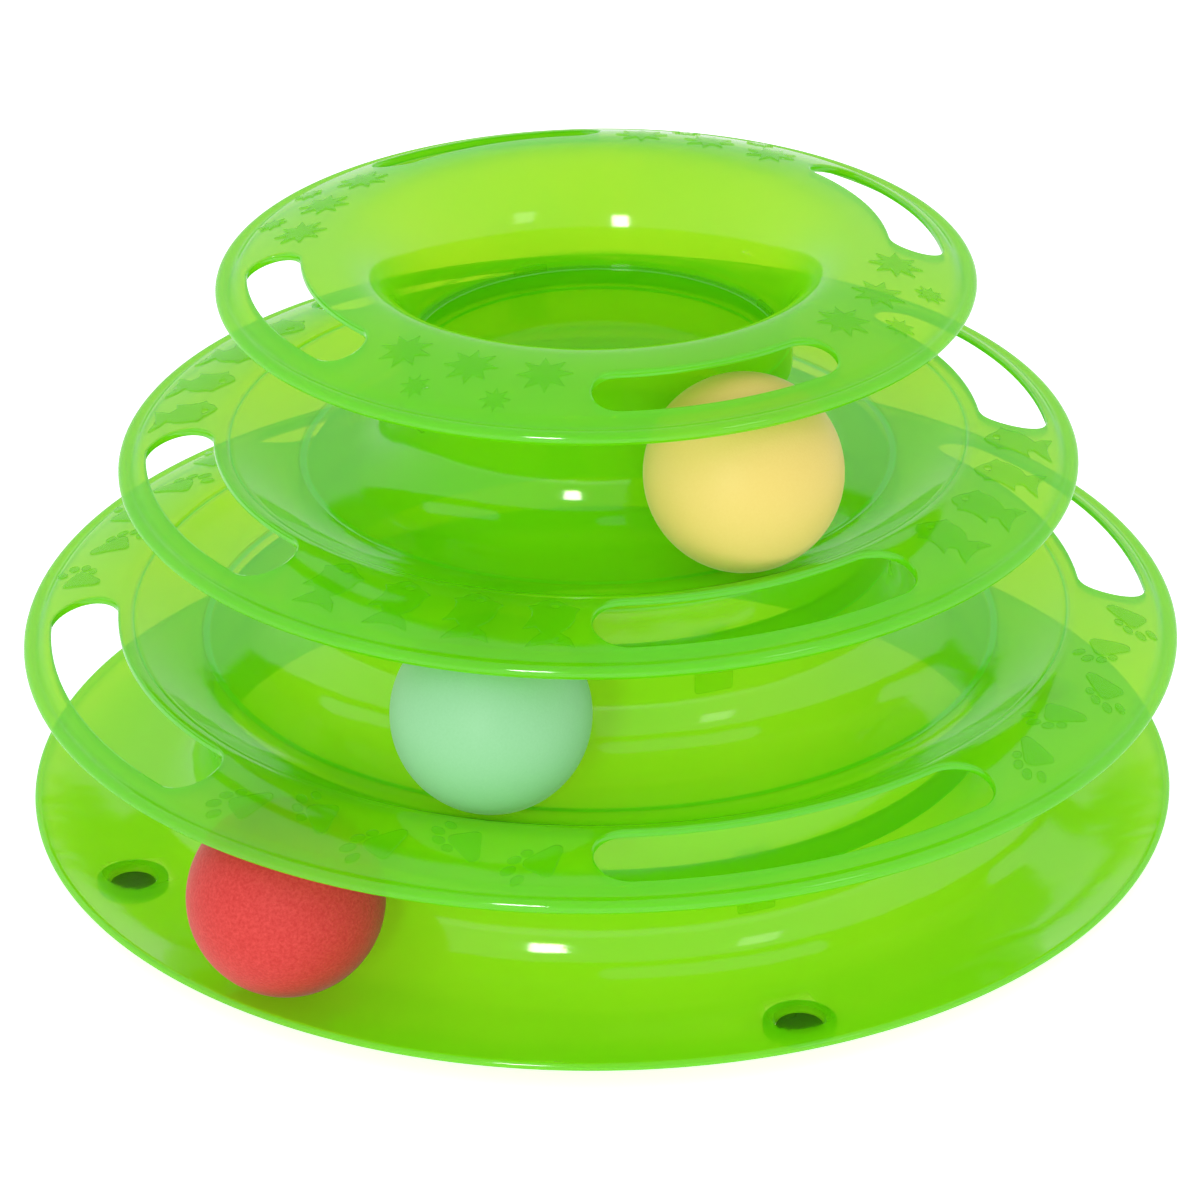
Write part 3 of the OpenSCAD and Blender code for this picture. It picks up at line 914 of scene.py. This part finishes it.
def tray_plastic():
    """Translucent lime plastic: tinted and see-through, milky within and glossy outside.

    At each wall a share of the light meets the solid plastic, and the rest goes through
    the clear film. The share rises at a slant and on edges, and falls where it is thin.
    """
    film_slant, film_edge = 0.6, 0.55
    skin_share, skin_sheen = 0.65, 0.35
    veil_plain, veil_cloud, veil_edge, veil_edge_and_shade, veil_sheen = 0.52, 0.08, 0.12, 0.15, 0.7
    thin_veil, thin_tint = 0.85, 0.8
    material, w, output = new_material("tray_plastic")
    place = w.node("ShaderNodeTexCoord").outputs["Object"]
    edge = w.node("ShaderNodeAttribute", attribute_name="edge").outputs["Fac"]
    thin = w.node("ShaderNodeAttribute", attribute_name="thin").outputs["Fac"]
    facing = w.node("ShaderNodeLayerWeight", {"Blend": 0.5}).outputs["Facing"]
    slant, sheen = w.maths("POWER", facing, 3.0), w.maths("POWER", facing, 4.5)
    # The edge values deepen the tint and the veil: own colour on cut edges and the bead, painted
    # shade in the grooves and on the collar's inner line.
    edge_and_shade_level = w.maths("POWER", edge, 2.0)
    depth = w.plus(w.times(slant, film_slant), w.times(edge, film_edge))
    body, film = [
        w.node("ShaderNodeGroup", {"Vector": place, "Edge": level, **look}, node_tree=flow)
        for level, look in ((edge_and_shade_level, BODY_LOOK), (depth, FILM_LOOK))]
    bump = w.node("ShaderNodeBump", {
        "Height": body.outputs["Height"], "Strength": 0.05, "Distance": 0.002})
    surface = w.node("ShaderNodeBsdfPrincipled", {
        "Base Color": SKIN_GREEN, "Roughness": 0.09, "IOR": 1.6, "Specular IOR Level": 1.0,
        "Normal": bump.outputs[0]})
    milk = w.node("ShaderNodeBsdfTranslucent", {"Color": body.outputs["Colour"]})
    tint = w.mix(w.times(thin, thin_tint), film.outputs["Colour"], WHITE)
    clear = w.node("ShaderNodeBsdfTransparent", {"Color": tint})
    skin = w.plus(skin_share, w.times(sheen, skin_sheen), clamp=True)
    solid = w.node("ShaderNodeMixShader", {0: skin, 1: milk.outputs[0], 2: surface.outputs[0]})
    veil = w.plus(w.times(body.outputs["Cloud"], veil_cloud), w.times(edge, veil_edge))
    veil = w.plus(w.plus(veil, w.times(edge_and_shade_level, veil_edge_and_shade)), veil_plain)
    veil = w.times(veil, w.minus(1.0, w.times(thin, thin_veil)))
    share = w.plus(veil, w.times(sheen, veil_sheen), clamp=True)
    shown = w.node("ShaderNodeMixShader", {0: share, 1: clear.outputs[0], 2: solid.outputs[0]})
    w.tree.links.new(shown.outputs[0], output.inputs["Surface"])
    return material


def grainy_material(name, grain_values, bump_values, surface_values):
    """A matte material with a fine speckled grain, from the values of its three nodes."""
    material, w, output = new_material(name)
    place = w.node("ShaderNodeTexCoord").outputs["Object"]
    skin = w.node("ShaderNodeGroup", {"Vector": place, **grain_values}, node_tree=grain)
    bump = w.node("ShaderNodeBump", {"Height": skin.outputs["Height"], **bump_values})
    surface = w.node("ShaderNodeBsdfPrincipled", {
        "Base Color": skin.outputs["Colour"], "Normal": bump.outputs[0], **surface_values})
    w.tree.links.new(surface.outputs[0], output.inputs["Surface"])
    return material


def ball_plastic(name, colour, speck, scale, specks, roughness, bump_strength):
    """Matte ball plastic."""
    return grainy_material(
        name,
        {"Colour": colour, "Speck colour": speck, "Grain scale": scale, "Speck share": specks},
        {"Strength": bump_strength, "Distance": 0.0004},
        {"Roughness": roughness, "Specular IOR Level": 0.3, "Sheen Weight": 0.15,
         "Sheen Roughness": 0.4})


def foot_rubber():
    """Black rubber with a dusty bloom."""
    return grainy_material(
        "foot_rubber", {"Colour": RUBBER, "Speck colour": RUBBER_DUST, "Grain scale": 900.0},
        {"Strength": 0.4, "Distance": 0.0003}, {"Roughness": 0.55})


def floor_paper():
    """Plain pale floor."""
    material, w, output = new_material("pale_floor")
    place = w.node("ShaderNodeTexCoord").outputs["Object"]
    mottle = w.node("ShaderNodeTexNoise", {"Vector": place, "Scale": 3.0, "Detail": 2.0})
    seen = w.node("ShaderNodeLightPath").outputs["Is Camera Ray"]
    plain_glow, more_when_seen = 0.25, 0.4
    surface = w.node("ShaderNodeBsdfPrincipled", {
        "Base Color": w.mix(mottle.outputs[0], PAPER_LOW, PAPER_HIGH), "Roughness": 0.9,
        "Specular IOR Level": 0.1, "Emission Color": WHITE,
        "Emission Strength": w.plus(plain_glow, w.times(seen, more_when_seen))})
    w.tree.links.new(surface.outputs[0], output.inputs["Surface"])
    return material


# Pieces

turned, ringed, relief = turning_tree(), ring_tree(), relief_tree()
flow, grain = flow_group(), grain_group()
plastic = tray_plastic()
spongy = {"scale": 1500, "specks": 0.5, "roughness": 0.62, "bump_strength": 0.35}
smooth = {"scale": 1800, "specks": 0.25, "roughness": 0.5, "bump_strength": 0.12}
red = ball_plastic("red_ball", RED, RED_SPECK, **spongy)
mint = ball_plastic("mint_ball", MINT, MINT_SPECK, **smooth)
yellow = ball_plastic("yellow_ball", YELLOW, YELLOW_SPECK, **smooth)
rubber = foot_rubber()


def turned_solid(rows, name, closed, segments, material):
    """A solid turned about the Z axis from an outline."""
    return through_tree(
        profile_object(rows, name, closed), turned, segments=segments, merge=TURN_MERGE,
        material=material)


def snap_parts(column_r, floor_z, kind):
    """The four tabs on a collar, or the four tongues of the skirt that goes over it."""
    if kind == "tabs":
        outer_r = column_r - WALL - FIT_GAP
        top_z = floor_z + COLLAR_H
        slab = curved_slab(
            outer_r - SNAP_WALL, outer_r, TAB_W, top_z - SNAP_ROOT, top_z + TAB_H, "tabs")
    else:
        edge_z = floor_z + COLLAR_H - SKIRT_OVERLAP
        slab = curved_slab(
            column_r - SNAP_WALL, column_r, TONGUE_W, edge_z - TONGUE_H, edge_z + SNAP_ROOT,
            "tongues")
    return through_tree(
        slab, ringed, count=SLOT_COUNT, first_direction=SLOT_TURN, thin=THIN, material=plastic)


def relief_marks(t, mark, r, pitch, shift=0.0, **places):
    """Raised marks on a tier's flange between its slots, with pitch and shift in degrees."""
    middle = SLOT_TURN + math.pi / SLOT_COUNT + math.radians(shift)
    return through_tree(
        mark, relief, groups=SLOT_COUNT, middle_direction=middle, pitch=math.radians(pitch),
        radius=r * MM, valley_radius=(t.rim_r - VALLEY_IN) * MM,
        valley_height=(t.rim_z + VALLEY_H) * MM, crest_radius=(t.rim_r - t.crest_in) * MM,
        crest_height=(t.rim_z + t.crest_h) * MM, edge=MARK_EDGE, thin=THIN, material=plastic,
        **places)


def base_tray():
    """The base: a lip, a dish, a track floor and the collar, with the foot cups under it."""
    dish_rows, lip_steps, segments, clear = 28, 16, 480, 0.6
    share = np.linspace(0, 1, dish_rows)
    dish_w, dish_h = BASE_RIM_R - BASE_DISH_FOOT_R - LIP_R, BASE_RIM_Z + LIP_R - BASE_FLOOR_Z
    dish = line(np.column_stack([
        BASE_RIM_R - LIP_R - share * dish_w,
        BASE_RIM_Z + LIP_R - dish_h * np.sin(share * math.pi / 2)]))
    under = beneath(dish, WALL)[::-1]
    under = under[under[:, 0] < BASE_RIM_R - LIP_R * 2 - clear]
    lip = arc((BASE_RIM_R - LIP_R, BASE_RIM_Z), LIP_R, 225, 450, lip_steps, LIP_EDGE)
    outline = run_of(dish, collar_rows(LOWER.column_r, BASE_FLOOR_Z), under, lip)
    tray = turned_solid(outline, "base_tray_moulding", True, segments, plastic)
    clear_over_feet(tray)
    parts = [foot_cups(), snap_parts(LOWER.column_r, BASE_FLOOR_Z, "tabs")]
    return faced(joined(tray, parts), MESH_MERGE)


def foot_direction(k):
    """Direction of a foot, counted from 0, in radians."""
    return SLOT_TURN + k * 2 * math.pi / FOOT_COUNT


def clear_over_feet(tray):
    """Stores on the tray's points how clear the plastic is pressed over the feet."""
    fade = 0.8
    feet = [(FEET_R * math.cos(foot_direction(k)), FEET_R * math.sin(foot_direction(k)))
            for k in range(FOOT_COUNT)]
    thin = tray.data.attributes.new("thin", "FLOAT", "POINT")
    for point, v in zip(thin.data, tray.data.vertices):
        away = min(math.hypot(v.co.x / MM - x, v.co.y / MM - y) for x, y in feet)
        point.value = min(1.0, max(0.0, CUP_R - fade - away))


def foot_cups():
    """The cups under the base that hold the feet."""
    inner, wall_z, soft, flare = FOOT_D / 2 + FOOT_GAP, BASE_FLOOR_Z - 0.5, CUP_SOFT, 0.3
    rows = run_of(
        arc((CUP_R - soft, CUP_Z + soft), soft, 0, -90, 4),
        arc((inner + soft, CUP_Z + soft), soft, 270, 180, 4),
        line([[inner, CUP_SHELF_Z], [inner + flare, wall_z], [CUP_R, wall_z],
              [CUP_R, CUP_Z + soft]]))
    cup = turned_solid(rows, "cups", True, 40, plastic)
    cup.data.transform(Matrix.Translation((FEET_R * MM, 0, 0)))
    return through_tree(
        cup, ringed, count=FOOT_COUNT, first_direction=SLOT_TURN, edge=CUP_EDGE, material=plastic)


def ball(name, material, column_r, floor_z, degrees, seam_axis):
    """A ball turned from a half circle, with the faint weld line of its two halves."""
    rows_over, segments = 73, 128
    ridge_h, ridge_w, dip_h, dip_w = 0.05, 0.28, 0.03, 0.8
    turn = np.linspace(-math.pi / 2, math.pi / 2, rows_over)
    along = turn * BALL_R
    ridge, dip = np.exp(-((along / ridge_w) ** 2)), np.exp(-((along / dip_w) ** 2))
    r = BALL_R + ridge_h * ridge - dip_h * dip
    rows = line(np.column_stack([r * np.cos(turn), r * np.sin(turn)]))
    rows[[0, -1], 0] = 0.0
    obj = turned_solid(rows, name, False, segments, material)
    lean = Vector((0, 0, 1)).rotation_difference(Vector(seam_axis))
    obj.data.transform(lean.to_matrix().to_4x4())
    path_r = column_r + BALL_SIDE_GAP + BALL_R
    way = math.radians(degrees)
    obj.data.transform(Matrix.Translation(Vector((
        path_r * math.cos(way), path_r * math.sin(way), floor_z + BALL_REST_GAP + BALL_R)) * MM))
    return faced(obj)


def foot(number):
    """A round rubber pad with a softened edge and a shallow ring in its sole."""
    r, high, soft, top_r = FOOT_D / 2, BASE_FLOOR_Z - WALL, FOOT_SOFT, 2.0
    rows = run_of(
        line([[0, SOLE_DEPTH], [SOLE_R, SOLE_DEPTH], [SOLE_R + SOLE_RING_W, 0.0], [r - soft, 0.0]]),
        arc((r - soft, soft), soft, -90, 0, 4), arc((r - soft, high - soft), soft, 0, 90, 4),
        line([[top_r, high], [0, high]]))
    obj = turned_solid(rows, f"rubber_foot_{number}", False, 48, rubber)
    way = foot_direction(number - 1)
    obj.data.transform(Matrix.Translation(
        (FEET_R * MM * math.cos(way), FEET_R * MM * math.sin(way), 0)))
    return faced(obj)


def tier_tray(t, marks, next_tabs):
    """A tier: its slotted shell, its tongues, its tabs and its raised marks."""
    parts = [snap_parts(t.column_r, t.floor_below_z, "tongues")] + marks
    if next_tabs:
        parts.append(snap_parts(t.next_column_r, t.floor_z, "tabs"))
    return faced(joined(slotted_tray(t), parts), MESH_MERGE)


def settle(obj, body, node):
    """Lets a finished piece ride on its body in place of its CAD node."""
    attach(obj, body)
    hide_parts(node)


paws = [
    relief_marks(LOWER, paw(1, "paws_out"), 114.3, 8.25, marks=3, first_mark=0, every=2),
    relief_marks(LOWER, paw(-1, "paws_in"), 107.9, 8.25, marks=2, first_mark=1, every=2),
]
shoal = [relief_marks(MIDDLE, fish("fish"), 88.5, 10.3, shift=1.8, marks=4)]
stars = [
    relief_marks(TOP, star(5.6, "stars"), 62.5, 14, marks=3),
    relief_marks(TOP, star(3.1, "small_stars"), 71, 14, marks=2),
]

settle(base_tray(), "base", "base_tray")
settle(tier_tray(LOWER, paws, True), "lower", "lower_tier")
settle(tier_tray(MIDDLE, shoal, True), "middle", "middle_tier")
settle(tier_tray(TOP, stars, False), "top", "top_tier")

# Each ball: its colour and material, what it circles, its direction, and its weld line's axis
for name, material, column_r, floor_z, degrees, seam_axis in (
        ("red", red, LOWER.column_r, BASE_FLOOR_Z, -127.3, (0.35, 0.2, 0.92)),
        ("mint", mint, MIDDLE.column_r, LOWER.floor_z, -105.2, (0.83, -0.49, 0.25)),
        ("yellow", yellow, TOP.column_r, MIDDLE.floor_z, -61.9, (0.1, 0.5, 0.85))):
    shell = ball(name + "_shell", material, column_r, floor_z, degrees, seam_axis)
    settle(shell, name, "ball_" + name)
for number in range(1, FOOT_COUNT + 1):
    settle(foot(number), "base", f"foot_{number}")


# Floor, light and camera

def floor():
    """A wide pale disc under the toy."""
    floor_r = 6.0
    shape = bmesh.new()
    bmesh.ops.create_circle(shape, cap_ends=True, segments=96, radius=floor_r)
    obj = object_of(shape, "floor")
    obj.data.materials.append(floor_paper())


def softbox(name, direction, height, distance, width, tall, power):
    """A soft rectangular lamp that faces the tower from a direction and a height in degrees."""
    lamp = bpy.data.lights.new(name, "AREA")
    lamp.shape, lamp.size, lamp.size_y, lamp.energy = "RECTANGLE", width, tall, power
    obj = add_object(name, lamp)
    a, e = math.radians(direction), math.radians(height)
    target = Vector((0, 0, 0.06))
    way = Vector((math.cos(a) * math.cos(e), math.sin(a) * math.cos(e), math.sin(e)))
    obj.location = target + distance * way
    obj.rotation_euler = (target - obj.location).to_track_quat("-Z", "Y").to_euler()


def studio():
    """Even white light all round, with a key lamp left of the camera."""
    world = bpy.data.worlds.new("studio")
    bpy.context.scene.world = world
    world.use_nodes = True
    w = Wiring(world.node_tree)
    way = w.node("ShaderNodeSeparateXYZ", {0: w.node("ShaderNodeTexCoord").outputs["Generated"]})
    all_round, more_behind, less_before, more_beside = 0.69, 0.3, 0.1, 0.25
    back = w.times(w.maths("MAXIMUM", way.outputs["Y"], 0.0), more_behind)
    front = w.times(w.maths("MINIMUM", way.outputs["Y"], 0.0), less_before)
    sides = w.times(w.maths("ABSOLUTE", way.outputs["X"]), more_beside)
    glow = w.plus(w.plus(back, front), w.plus(sides, all_round))
    seen = w.node("ShaderNodeLightPath").outputs["Is Camera Ray"]
    backdrop = world.node_tree.nodes["Background"]
    backdrop.inputs["Color"].default_value = WHITE
    w.tree.links.new(w.maths("MAXIMUM", glow, seen), backdrop.inputs["Strength"])
    softbox("key", direction=-105, height=17, distance=1.3, width=0.2, tall=0.3, power=5)
    softbox("fill", direction=-47, height=24, distance=1.5, width=0.3, tall=0.3, power=0.7)
    scene = bpy.context.scene
    scene.view_settings.view_transform = "Standard"
    scene.cycles.transparent_max_bounces = 64
    scene.cycles.max_bounces = 16


def camera():
    """The photograph's viewpoint, from its focal length, distance, height and tilt."""
    lens = bpy.data.cameras.new("camera")
    lens.sensor_width, lens.lens = 36.0, 161.02
    lens.clip_start, lens.clip_end = 0.05, 50
    obj = add_object("camera", lens)
    back, height = 1.0226, 0.5737
    tilt, roll = math.radians(62.761), math.radians(-0.7102)
    turn = Matrix.Rotation(tilt, 4, "X") @ Matrix.Rotation(roll, 4, "Z")
    obj.matrix_world = Matrix.Translation((0, -back, height)) @ turn
    bpy.context.scene.camera = obj


floor()
studio()
camera()
